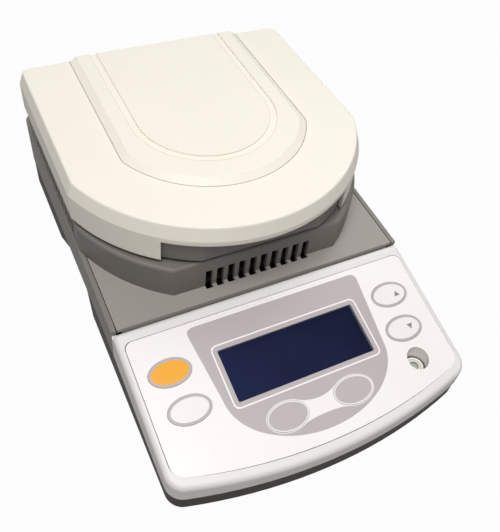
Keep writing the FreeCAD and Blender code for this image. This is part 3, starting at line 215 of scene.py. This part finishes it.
PANEL_WHITE = linear(238, 235, 233)
FINISHES = {
    "tray_dark": moulded("tray_dark", linear(60, 54, 48), 0.6),
    # Painted shade: the vented ring is moulded in the deck's plastic, and its grey here is set darker than the
    # deck's.
    "ring_grey": moulded("ring_grey", linear(124, 119, 114), 0.5),
    "lid_cream": moulded("lid_cream", linear(250, 244, 231), 0.48, 0.5, 0.03, 0.012),
    "panel_white": moulded("panel_white", PANEL_WHITE, 0.42, 0.3, 0.01, 0.01),
    "black_plastic": moulded("black_plastic", linear(44, 43, 42), 0.5),
    "ceramic": moulded("ceramic", linear(226, 221, 208), 0.8, 0.2, 0.02, 0.05),
}

# The wall of the case is white in front of the line between deck and panel, and grey behind it.
SEAM_Y, SEAM_Z = -49.4, 55.1
FINISHES["frame_grey"] = two_tone("frame_grey", linear(134, 130, 122), PANEL_WHITE,
                                  lambda x, y, z: y < SEAM_Y, 0.5)
# Painted shade: the deck is coloured dark under the vented ring, where the ring's shade falls, so that the
# slots look as dark as their shadow makes them.
PAINTED_SHADE_HALF_W, PAINTED_SHADE_SETBACK = 60.0, 1.5
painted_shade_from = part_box("vent_ring")[0][1] / MM + PAINTED_SHADE_SETBACK
FINISHES["deck_grey"] = two_tone("deck_grey", linear(160, 154, 148), linear(40, 39, 38),
                                 lambda x, y, z: (y > painted_shade_from) * (x.maths("ABSOLUTE", x) < PAINTED_SHADE_HALF_W), 0.5)
print("moulded finishes:", ", ".join(FINISHES))

# %% [markdown]
# ## Printed film and keys
# The control panel wears a polyester film, printed on its back. Its face is smoother than the case, with a
# faint satin texture that softens reflections. The keys use the same film over small domes.


# %% Film finishes
def film(name, colour, roughness=0.36):
    material, graph, shader = new_surface(name, IOR=1.5, Coat_Roughness=0.3)
    place = place_mm(graph)
    satin = noise(place, 0.15, 1)
    slow = noise(place, 45, 2)
    light = [min(c * 1.015, 1) for c in colour]
    bump = graph.node("Bump", {}, {"Height": satin, "Strength": 0.4, "Distance": 0.006 * MM})
    connect(graph, shader, Base_Color=between(slow, [c * 0.985 for c in colour], light),
            Roughness=slow * 0.06 + satin * 0.05 + (roughness - 0.05), Normal=bump)
    return material


FINISHES["overlay_white"] = film("overlay_white", linear(255, 249, 247))
FINISHES["key_white"] = film("key_white", linear(250, 244, 243), 0.3)
FINISHES["key_orange"] = film("key_orange", linear(255, 176, 42), 0.3)
FINISHES["key_grey"] = film("key_grey", linear(196, 186, 187), 0.3)
FINISHES["print_grey"] = film("print_grey", linear(193, 183, 184))
# White print, and the painted highlight on the level's rim.
FINISHES["white_print_and_painted_highlight"] = film("white_print_and_painted_highlight", linear(252, 246, 246))
FINISHES["print_dark"] = film("print_dark", linear(146, 138, 140))
# Painted shade: the lines at the foot of the lid's raised panel and at the edges of its groove.
FINISHES["raised_foot_painted_shade"] = film("raised_foot_painted_shade", linear(172, 166, 153), 0.6)
FINISHES["groove_shade"] = film("groove_shade", linear(216, 210, 197), 0.6)
# Painted shade for the gaps round the film and round the level, and dark print for the level's circle.
FINISHES["dark_print_and_painted_shade"] = film("dark_print_and_painted_shade", linear(92, 86, 84), 0.7)
print("film finishes added:", len(FINISHES), "so far")

# %% [markdown]
# ## Metals
# Pressed steel and spun aluminium show fine parallel or circular scratches. Stretched noise gives both: in
# straight lines when one axis is squeezed, and in rings when the distance from the oven's middle replaces
# the position. The metal's colour stays nearly even, and the scratches live in roughness and bump.


# %% Metals
OVEN_MIDDLE_Y = 59.0


def brushed(name, colour, roughness, rings=False):
    material, graph, shader = new_surface(name, Metallic=1.0)
    place = place_mm(graph)
    if rings:
        flat = place.node("VectorMath", {"operation": "MULTIPLY_ADD"},
                          {0: place, 1: (1, 1, 0), 2: (0, -OVEN_MIDDLE_Y, 0)})
        radius = flat.node("VectorMath", {"operation": "LENGTH"}, {0: flat}, "Value")
        height = place.node("SeparateXYZ", {}, {0: place}, 2)
        lines = place.node("CombineXYZ", {}, {"X": radius * 4, "Y": height})
    else:
        lines = place.node("VectorMath", {"operation": "MULTIPLY"}, {0: place, 1: (0.15, 4.0, 4.0)})
    scratch = noise(lines, 1.0, 3)
    smudge = noise(place, 25, 2)
    bump = graph.node("Bump", {}, {"Height": scratch, "Strength": 0.3, "Distance": 0.01 * MM})
    connect(graph, shader, Base_Color=between(scratch, [c * 0.94 for c in colour], colour),
            Roughness=scratch * 0.12 + smudge * 0.1 + (roughness - 0.1), Normal=bump)
    return material


FINISHES["steel"] = brushed("steel", linear(196, 196, 196), 0.32)
FINISHES["aluminium"] = brushed("aluminium", linear(214, 214, 216), 0.3, rings=True)
FINISHES["brass"] = brushed("brass", linear(214, 182, 104), 0.3)
FINISHES["core_iron"] = brushed("core_iron", linear(96, 96, 100), 0.45)
print("metals: steel, spun aluminium, brass, core iron")

# %% [markdown]
# ## Glass, display and the small rest
# Clear pieces are made with a constant low alpha and a sharp gloss, which reads as glass in any viewer. The
# display is a dark blue liquid crystal, a little lighter towards its left and its front, with the faint grid
# of its dots.


# %% Clear, tinted and dark glass
def clear(name, colour, alpha, ior=1.5):
    material, graph, shader = new_surface(name, IOR=ior, Alpha=alpha)
    place = place_mm(graph)
    haze = noise(place, 12, 2)
    connect(graph, shader, Base_Color=between(haze, [c * 0.97 for c in colour], colour),
            Roughness=haze * 0.04 + 0.02)
    return material


FINISHES["clear_glass"] = clear("clear_glass", (0.9, 0.93, 0.94), 0.22)
FINISHES["display_glass"] = clear("display_glass", (0.01, 0.015, 0.06), 0.2, 1.25)
FINISHES["level_fluid"] = clear("level_fluid", (0.85, 0.92, 0.7), 0.5)
FINISHES["level_milky"] = clear("level_milky", linear(236, 230, 216), 0.85)
print("glass finishes ready")


# %% The display's dots
def liquid_crystal(name):
    material, graph, shader = new_surface(name, IOR=1.3, Roughness=0.6)
    place = place_mm(graph)
    across = place.node("SeparateXYZ", {}, {0: place}, 0)
    along = place.node("SeparateXYZ", {}, {0: place}, 1)
    grid = across.maths("PINGPONG", across, 0.25) + along.maths("PINGPONG", along, 0.25)
    glow = noise(place, 40, 1)
    tone = glow * 0.4 + grid * 0.02 - across * 0.004 - (along + 98) * 0.003 + 0.2
    connect(graph, shader, Base_Color=between(tone, linear(8, 18, 56), linear(36, 48, 96)))
    return material


FINISHES["display_dark"] = liquid_crystal("display_dark")
FINISHES["rocker_black"] = moulded("rocker_black", linear(30, 30, 31), 0.25, 0.4, 0.004)
FINISHES["rubber"] = moulded("rubber", linear(38, 37, 36), 0.8, 0.25, 0.03)
FINISHES["board_green"] = moulded("board_green", linear(30, 96, 58), 0.4, 1.5, 0.02, 0.15)
FINISHES["coil_tape"] = moulded("coil_tape", linear(208, 172, 72), 0.35, 2.0, 0.04, 0.1)
print("finishes in all:", len(FINISHES))

# %% [markdown]
# ## Dressing the solids
# Each solid keeps its shape and takes the finish of its material slot. The two keys that stand in the grey
# field are printed grey, so they differ from the other keys although they are the same moulding.

# %% Give every solid its finish
slot_of = {piece["node"]: piece["material_slot"] for piece in frame["record"]["subparts"]}
slot_of.update({"key_back": "key_grey", "key_enter": "key_grey"})
for name, solid in frame["nodes"].items():
    solid.data.materials.clear()
    solid.data.materials.append(FINISHES[slot_of[name]])
print("solids dressed:", len(slot_of))

# %% [markdown]
# ## The print on the panel
# The film carries a grey field round the display, a thin white frame line, a white bridge between the two
# lower keys and a ring on every key. Print has outlines, often with holes, and Blender's flat curves fill
# those by themselves: each outline is one closed spline, and a spline inside another cuts a hole. The filled
# curve becomes a mesh a few hundredths of a millimetre thick, laid on the panel's slope.

# %% The panel's slope and a printed shape on it
PANEL_TILT = math.radians(13.36)
SEAM = Vector((0, SEAM_Y, SEAM_Z)) * MM
FILM_FACE = 0.2 * MM
KEY_FACE = 0.4 * MM
INK = 0.03 * MM
panel_matrix = Matrix.Translation(SEAM) @ Matrix.Rotation(PANEL_TILT, 4, "X")


def printed(name, outlines, finish, height, body="housing", plane=panel_matrix):
    """A filled shape from closed outlines of (u, v) in millimetres; inner outlines are holes."""
    curve = bpy.data.curves.new(name, "CURVE")
    curve.dimensions = "2D"
    curve.fill_mode = "BOTH"
    curve.extrude = INK / 2
    for outline in outlines:
        spline = curve.splines.new("POLY")
        spline.points.add(len(outline) - 1)
        for point, (u, v) in zip(spline.points, outline):
            point.co = (u * MM, v * MM, 0, 1)
        spline.use_cyclic_u = True
    flat = bpy.data.objects.new(name + "_outline", curve)
    bpy.context.scene.collection.objects.link(flat)
    mesh = bpy.data.meshes.new_from_object(flat.evaluated_get(bpy.context.evaluated_depsgraph_get()))
    bpy.data.objects.remove(flat)
    mesh.name = name
    mesh.transform(plane @ Matrix.Translation((0, 0, height + INK / 2)))
    mesh.materials.append(FINISHES[finish])
    piece = bpy.data.objects.new(name, mesh)
    bpy.context.scene.collection.objects.link(piece)
    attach(piece, body)
    return piece


# %% Outlines of the print
def oval(u, v, a, b, steps=72):
    turns = [2 * math.pi * i / steps for i in range(steps)]
    return [(u + a * math.cos(t), v + b * math.sin(t)) for t in turns]


def rounded(points, radius, steps=8):
    """A closed outline with its corners rounded by a quadratic curve."""
    result = []
    for before, here, after in zip(points[-1:] + points[:-1], points, points[1:] + points[:1]):
        here = Vector(here)
        start = here + (Vector(before) - here).normalized() * radius
        end = here + (Vector(after) - here).normalized() * radius
        for i in range(steps + 1):
            t = i / steps
            result.append(tuple(start * (1 - t) ** 2 + here * 2 * t * (1 - t) + end * t * t))
    return result


def field_outline():
    """Straight top, sides that lean in, and a half oval below."""
    bottom = [(56.0 * math.cos(t), -62 + 37.3 * math.sin(t))
              for t in [-math.pi * i / 40 for i in range(41)]]
    top = rounded([(-61.5, -12.8), (61.5, -12.8), (0, -400)], 6.0)
    return top[:18] + bottom


KEYS = {
    "key_start": (-78.6, -34.9), "key_select": (-75.8, -59.5), "key_up": (76.8, -34.8),
    "key_down": (74.1, -59.4), "key_back": (-23.4, -83.8), "key_enter": (21.8, -83.8),
}
KEY_A, KEY_B, KEY_GAP = 13.3, 8.65, 0.25
RING_W, FIELD_RING_W, BORDER_W = 1.7, 0.8, 0.55
DISPLAY = (94.8, 33.6, -49.0)
print("keys across the panel in mm:", sorted({u for u, v in KEYS.values()}))


# %% Painted shade: the dark line in the gap round the film
OVERLAY_SIDE, OVERLAY_FRONT, OVERLAY_TOP_V = 98.1, -106.07, -9.2
OVERLAY_FRONT_R = 344.6
RECESS_FLOOR = -0.3 * MM


def film_outline(grow):
    """The film's edge: straight sides and rear, and a front that bulges with the case."""
    half = OVERLAY_SIDE + grow
    radius = OVERLAY_FRONT_R + grow
    middle_v = OVERLAY_FRONT + OVERLAY_FRONT_R
    swing = math.asin((half - 9.5) / radius)
    front = [(radius * math.sin(t), middle_v - radius * math.cos(t))
             for t in (-swing + 2 * swing * i / 48 for i in range(49))]
    side_v = middle_v - math.sqrt(radius ** 2 - half ** 2)
    corner = rounded([(0, front[-1][1] - 1.3), (half, side_v), (half, 0)], 9.8)[9:18]
    rear = rounded([(half, -60), (half, OVERLAY_TOP_V + grow), (0, OVERLAY_TOP_V + grow)], 4.4)[9:18]
    right = corner + rear
    return front + right + [(-u, v) for u, v in right[::-1]]


# A dark strip on the recess floor paints the shade in the gap round the film.
gap_shade_line = printed("film_gap_painted_shade", [film_outline(0.55), film_outline(-0.8)], "dark_print_and_painted_shade", RECESS_FLOOR)
print("gap line vertices:", len(gap_shade_line.data.vertices))

# %% The grey field, the white frame line and the bridge
def display_line(grow, radius):
    width, height, middle = DISPLAY
    u, v = width / 2 + grow, height / 2 + grow
    return rounded([(-u, middle - v), (u, middle - v), (u, middle + v), (-u, middle + v)], radius)


key_holes = [oval(*KEYS[name], KEY_A + KEY_GAP, KEY_B + KEY_GAP) for name in ("key_back", "key_enter")]
field = printed("printed_field", [field_outline(), display_line(0.1, 1.0)] + key_holes, "print_grey",
                FILM_FACE)
printed("printed_frame_line", [display_line(3.9, 4.5), display_line(2.9, 3.6)], "white_print_and_painted_highlight",
        FILM_FACE + INK)


def bridge_outline(middle=-0.8, upper=-80.1, lower=-90.1):
    """The waist between the two lower keys: it leaves each key's border along the border's own direction."""
    border_a, border_b = KEY_A + KEY_GAP + BORDER_W, KEY_B + KEY_GAP + BORDER_W
    reach = KEYS["key_enter"][0] - middle
    v = KEYS["key_enter"][1]
    half = []
    for turn, waist_v in ((50, upper), (-58, lower)):
        turn = math.radians(turn)
        leave = Vector((-reach + border_a * math.cos(turn), v + border_b * math.sin(turn)))
        slope = border_b * math.cos(turn) / (-border_a * math.sin(turn))
        bend = Vector((leave.x + (waist_v - leave.y) / slope, waist_v))
        waist = Vector((0, waist_v))
        curve = [leave * (1 - t) ** 2 + bend * 2 * t * (1 - t) + waist * t * t
                 for t in (i / 16 for i in range(17))]
        half.append(curve)
    side = [Vector((-reach + border_a * math.cos(t), v + border_b * math.sin(t)))
            for t in (math.radians(-58 + 108 * i / 24) for i in range(1, 24))]
    left = half[1][::-1] + side + half[0]
    return [(middle + p.x, p.y) for p in left] + [(middle - p.x, p.y) for p in left[::-1]]


bridge = printed("printed_bridge", [bridge_outline()], "white_print_and_painted_highlight", FILM_FACE + INK)
for name in ("key_back", "key_enter"):
    border = [oval(*KEYS[name], KEY_A + KEY_GAP + BORDER_W, KEY_B + KEY_GAP + BORDER_W),
              oval(*KEYS[name], KEY_A + KEY_GAP, KEY_B + KEY_GAP)]
    printed("border_" + name, border, "white_print_and_painted_highlight", FILM_FACE + INK)
print("field vertices:", len(field.data.vertices), "bridge vertices:", len(bridge.data.vertices))

# %% [markdown]
# Every key has a printed ring just inside its edge, grey on the white and orange keys and white on the grey
# ones. Up and down carry a plain triangle. The ring rides on its key, so it goes down with it.

# %% Rings and arrows on the keys
for name, (u, v) in KEYS.items():
    on_field = name in ("key_back", "key_enter")
    ring_w = FIELD_RING_W if on_field else RING_W
    ring = [oval(u, v, KEY_A, KEY_B), oval(u, v, KEY_A - ring_w, KEY_B - ring_w)]
    printed("ring_" + name, ring, "white_print_and_painted_highlight" if on_field else "print_grey", KEY_FACE, name)
ARROW_HALF_W, ARROW_FOOT, ARROW_TIP = 2.1, 1.7, 1.9
for name, (u, v), way in (("key_up", (81.9, -35.7), 1), ("key_down", (79.1, -59.6), -1)):
    arrow = [(u - ARROW_HALF_W, v - ARROW_FOOT * way), (u + ARROW_HALF_W, v - ARROW_FOOT * way),
             (u, v + ARROW_TIP * way)]
    printed("arrow_" + name, [arrow], "print_dark", KEY_FACE, name)
print("key rings:", len(KEYS))

# %% [markdown]
# The bubble level sits deep in its hole. Flat rings on the top of its vial give it painted shade round its
# edge, a painted highlight on its rim, a milky lens and one thin circle for the bubble.

# %% The level's painted shade, painted highlight, lens and circle
# The outer dark ring is painted shade round the vial's edge, and the white ring inside it a painted highlight
# on its rim.
LEVEL_RINGS = (("level_gap", 7.3, 6.1, "dark_print_and_painted_shade"), ("level_rim", 6.1, 5.3, "white_print_and_painted_highlight"),
               ("level_lens", 5.3, 2.9, "level_milky"), ("level_circle", 2.9, 2.6, "dark_print_and_painted_shade"))
LEVEL_LIFT = 0.02 * MM
low, high = (Vector(corner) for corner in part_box("level_vial"))
level_plane = Matrix.Translation(((low.x + high.x) / 2, (low.y + high.y) / 2, high.z))
for name, outer, inner, finish in LEVEL_RINGS:
    washer = [oval(0, 0, outer, outer), oval(0, 0, inner, inner)]
    printed(name, washer, finish, LEVEL_LIFT, "housing", level_plane)
print("level parts: gap, rim, lens and circle at", round(high.z / MM, 1), "mm")

# %% [markdown]
# Flat strips paint shade as thin dark lines at the foot of the lid's raised panel and at the two
# edges of the groove on it. All three follow a U: straight sides, small corners, an arc.

# %% Painted shade lines on the lid
RAISED_H, RAISED_REAR = 3.0, 3.9
RAISED_FOOT = (65.1, 70.5, 12.0)
GROOVE_OUTER, GROOVE_INNER = (50.3, 50.4, 0.0), (45.7, 45.8, 0.0)
FOOT_SHADE_W, GROOVE_LINE_W = 0.6, 0.3
CORNER_STEPS, ARC_STEPS = 8, 64


def u_path(half, radius, corner, rear, grow):
    """Points from the rear on the right, round the front, to the rear on the left."""
    half, radius, corner = half + grow, radius + grow, corner + max(grow, 0) if corner else 0
    across = half - corner
    along = math.sqrt(max((radius - corner) ** 2 - across ** 2, 0))
    turn = math.atan2(along, across)
    side = [(half, rear)]
    for i in range(CORNER_STEPS if corner else 1):
        t = turn * i / CORNER_STEPS
        side.append((across + corner * math.cos(t), OVEN_MIDDLE_Y - along - corner * math.sin(t)))
    sweep = math.pi / 2 - turn
    front = []
    for i in range(ARC_STEPS + 1):
        t = sweep - 2 * sweep * i / ARC_STEPS
        front.append((radius * math.sin(t), OVEN_MIDDLE_Y - radius * math.cos(t)))
    return side + front + [(-x, y) for x, y in side[::-1]]


lid_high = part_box("lid_shell")[1]
panel_rear = lid_high[1] / MM - RAISED_REAR
# The first strip is painted shade at the foot of the raised panel, the other two painted shade at the groove's
# edges.
for name, shape, outside, inside, top, finish in (
        ("lid_joint_line", RAISED_FOOT, FOOT_SHADE_W, 0.0, lid_high[2] - RAISED_H * MM, "raised_foot_painted_shade"),
        ("lid_groove_outer", GROOVE_OUTER, GROOVE_LINE_W, 0.0, lid_high[2], "groove_shade"),
        ("lid_groove_inner", GROOVE_INNER, 0.0, -GROOVE_LINE_W, lid_high[2], "groove_shade")):
    outline = u_path(*shape, panel_rear, outside) + u_path(*shape, panel_rear, inside)[::-1]
    printed(name, [outline], finish, 0.0, "lid", Matrix.Translation((0, 0, top)))
print("lines on the lid end at y in mm:", round(panel_rear, 1))

# %% [markdown]
# ## The bench and the light
# The object stands on a pale bench under a wide lamp, which hangs above it and a little to the left and in
# front. A weaker lamp stands behind on the right. The bench shows white to the camera and keeps its shadow.


# %% Bench and world
def white_to_camera(graph, plain, share, mirrored):
    """Mixes plain with white where the camera looks at it, and less so where a reflection or glass does."""
    camera_ray, glossy_ray, glass_ray = (
        graph.node("LightPath", output=name)
        for name in ("Is Camera Ray", "Is Glossy Ray", "Is Transmission Ray"))
    seen = camera_ray * share + (glossy_ray + glass_ray) * mirrored
    white = graph.node("Emission", {}, {"Color": (1, 1, 1, 1), "Strength": 1.0})
    return graph.node("MixShader", {}, {0: seen, 1: plain, 2: white})


BENCH_HALF, BENCH_GAP = 4.0, 0.0002
corners = [(BENCH_HALF * x, BENCH_HALF * y, 0) for x, y in ((-1, -1), (1, -1), (1, 1), (-1, 1))]
bench_mesh = bpy.data.meshes.new("bench")
bench_mesh.from_pydata(corners, [], [(0, 1, 2, 3)])
bench = bpy.data.objects.new("bench", bench_mesh)
bench.location.z = -BENCH_GAP
bpy.context.scene.collection.objects.link(bench)
bench_material = bpy.data.materials.new("bench")
bench_material.use_nodes = True
tree = bench_material.node_tree
tree.nodes.clear()
graph = Sock(tree)
diffuse = graph.node("BsdfDiffuse", {}, {"Color": (0.35, 0.35, 0.35, 1)})
surface = white_to_camera(graph, diffuse, 0.97, 0.3)
tree.links.new(surface.socket, tree.nodes.new("ShaderNodeOutputMaterial").inputs["Surface"])
bench_mesh.materials.append(bench_material)

world = bpy.data.worlds.new("studio")
bpy.context.scene.world = world
world.use_nodes = True
tree = world.node_tree
tree.nodes.clear()
graph = Sock(tree)
dim = graph.node("Background", {}, {"Color": (0.98, 0.99, 1.0, 1), "Strength": 0.2})
surface = white_to_camera(graph, dim, 1.0, 0.1)
tree.links.new(surface.socket, tree.nodes.new("ShaderNodeOutputWorld").inputs["Surface"])
print("world strength 0.2, bench white to the camera")


# %% Lamps
def area_lamp(name, at, aim, size, power, colour=(1, 1, 1)):
    data = bpy.data.lights.new(name, "AREA")
    data.shape = "SQUARE"
    data.size = size
    data.energy = power
    data.color = colour
    lamp = bpy.data.objects.new(name, data)
    lamp.location = at
    lamp.rotation_euler = (Vector(aim) - Vector(at)).to_track_quat("-Z", "Y").to_euler()
    bpy.context.scene.collection.objects.link(lamp)
    return lamp


middle = (0, 0, 0.06)
area_lamp("window_light", (-0.3, -0.42, 1.55), middle, 0.8, 18)
area_lamp("right_light", (0.9, 0.7, 1.3), middle, 0.8, 6)
